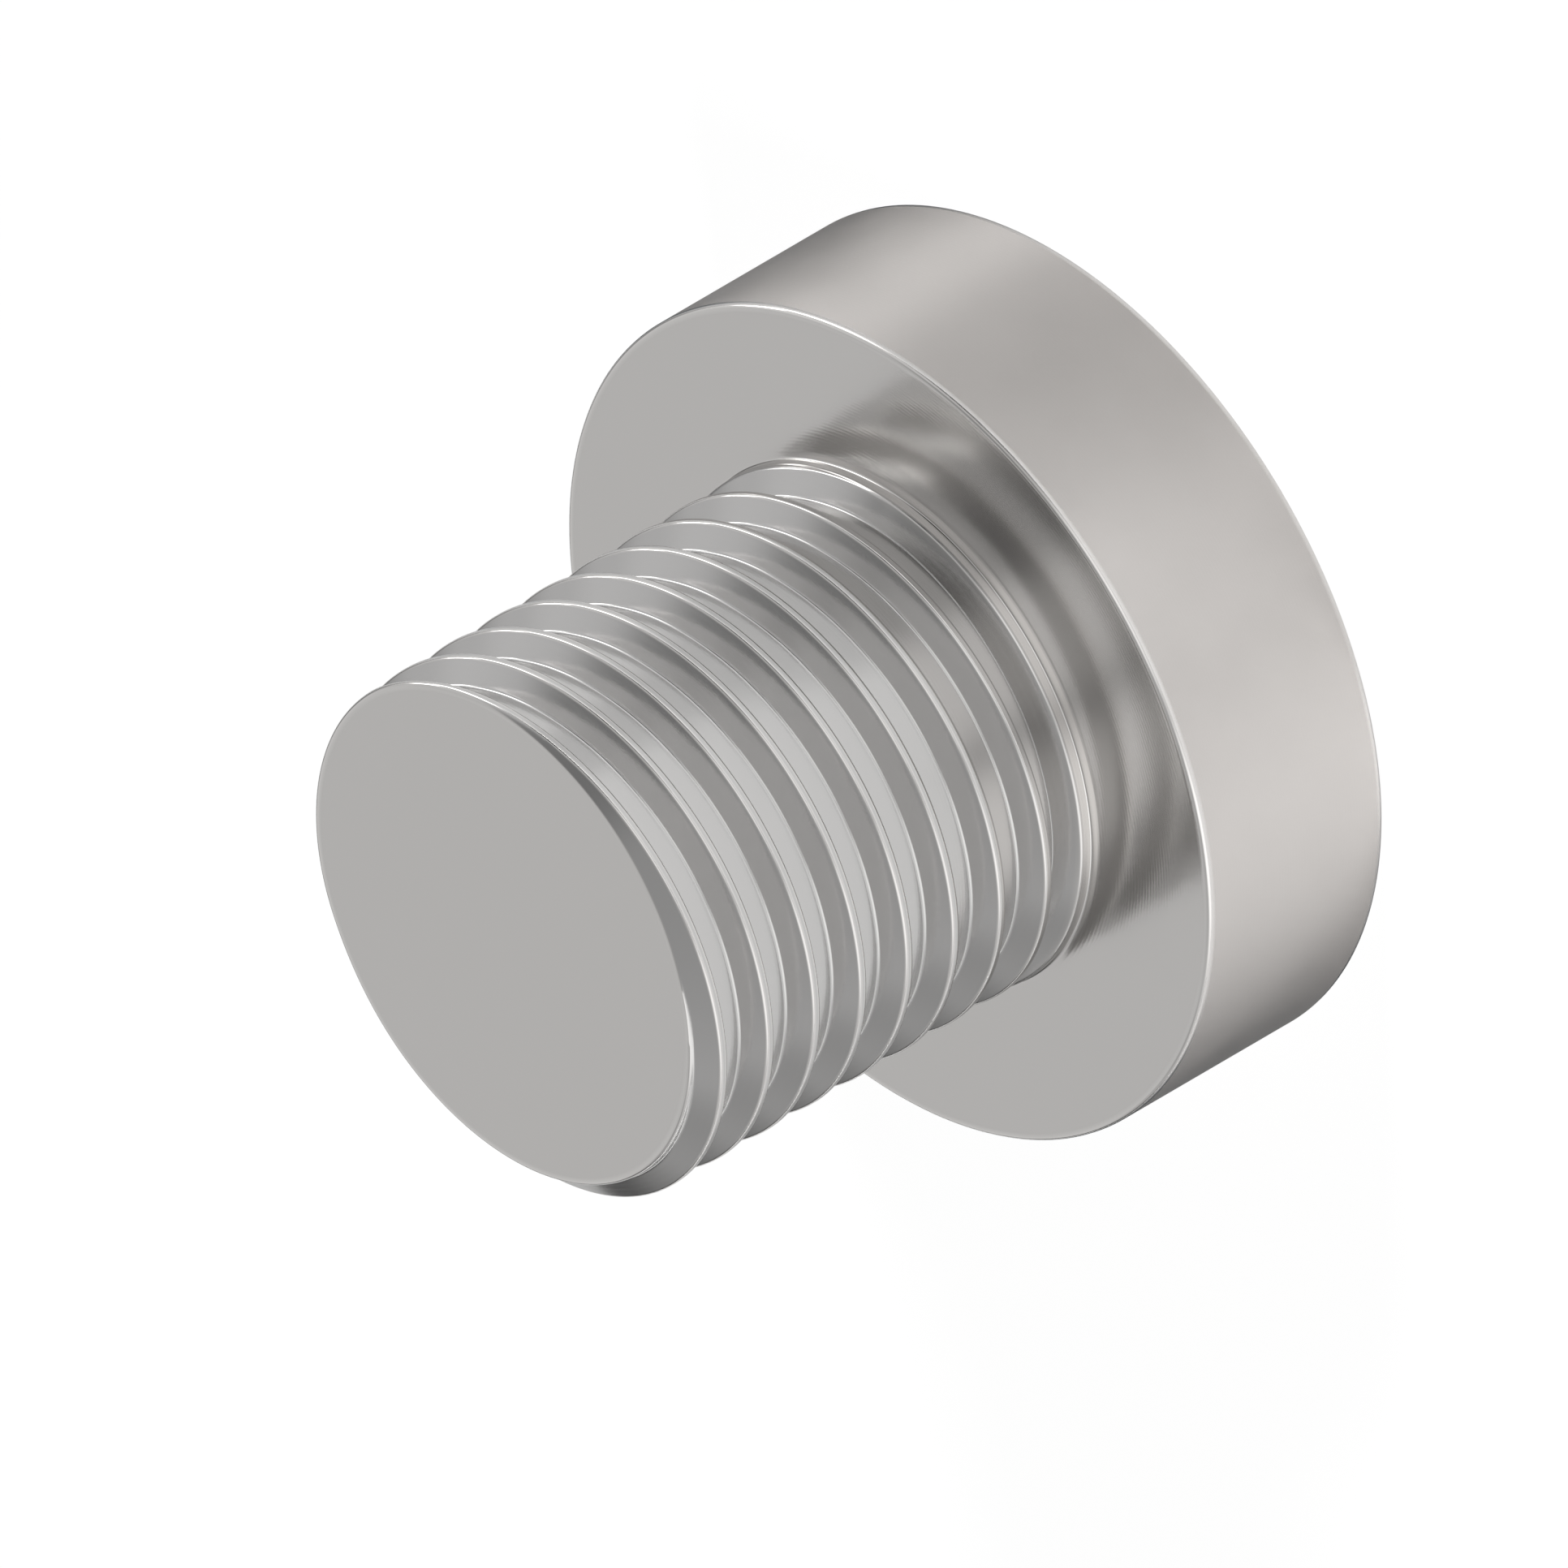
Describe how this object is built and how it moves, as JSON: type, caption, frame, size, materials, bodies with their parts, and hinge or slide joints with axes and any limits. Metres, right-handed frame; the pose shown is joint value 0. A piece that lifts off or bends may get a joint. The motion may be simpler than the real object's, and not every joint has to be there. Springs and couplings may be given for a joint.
{
  "type": "blanking plug",
  "caption": "One-piece metal screw plug with a plain round head, a flat bearing face, a fine outside thread and a hexagon socket in the head, for closing a tapped hole.",
  "frame": {"origin": "centre of the head's outer face, on which the plug stands", "axes": "+Z along the axis from the head towards the threaded end; a crest of the thread meets the end face in the direction +X"},
  "size_m": [0.0285, 0.0284, 0.024],
  "materials": {
    "turned_steel": "fine-turned stainless steel, satin, slightly brighter on the edges"
  },
  "bodies": {
    "root": {"plug_body": "turned_steel"}
  },
  "joints": []
}
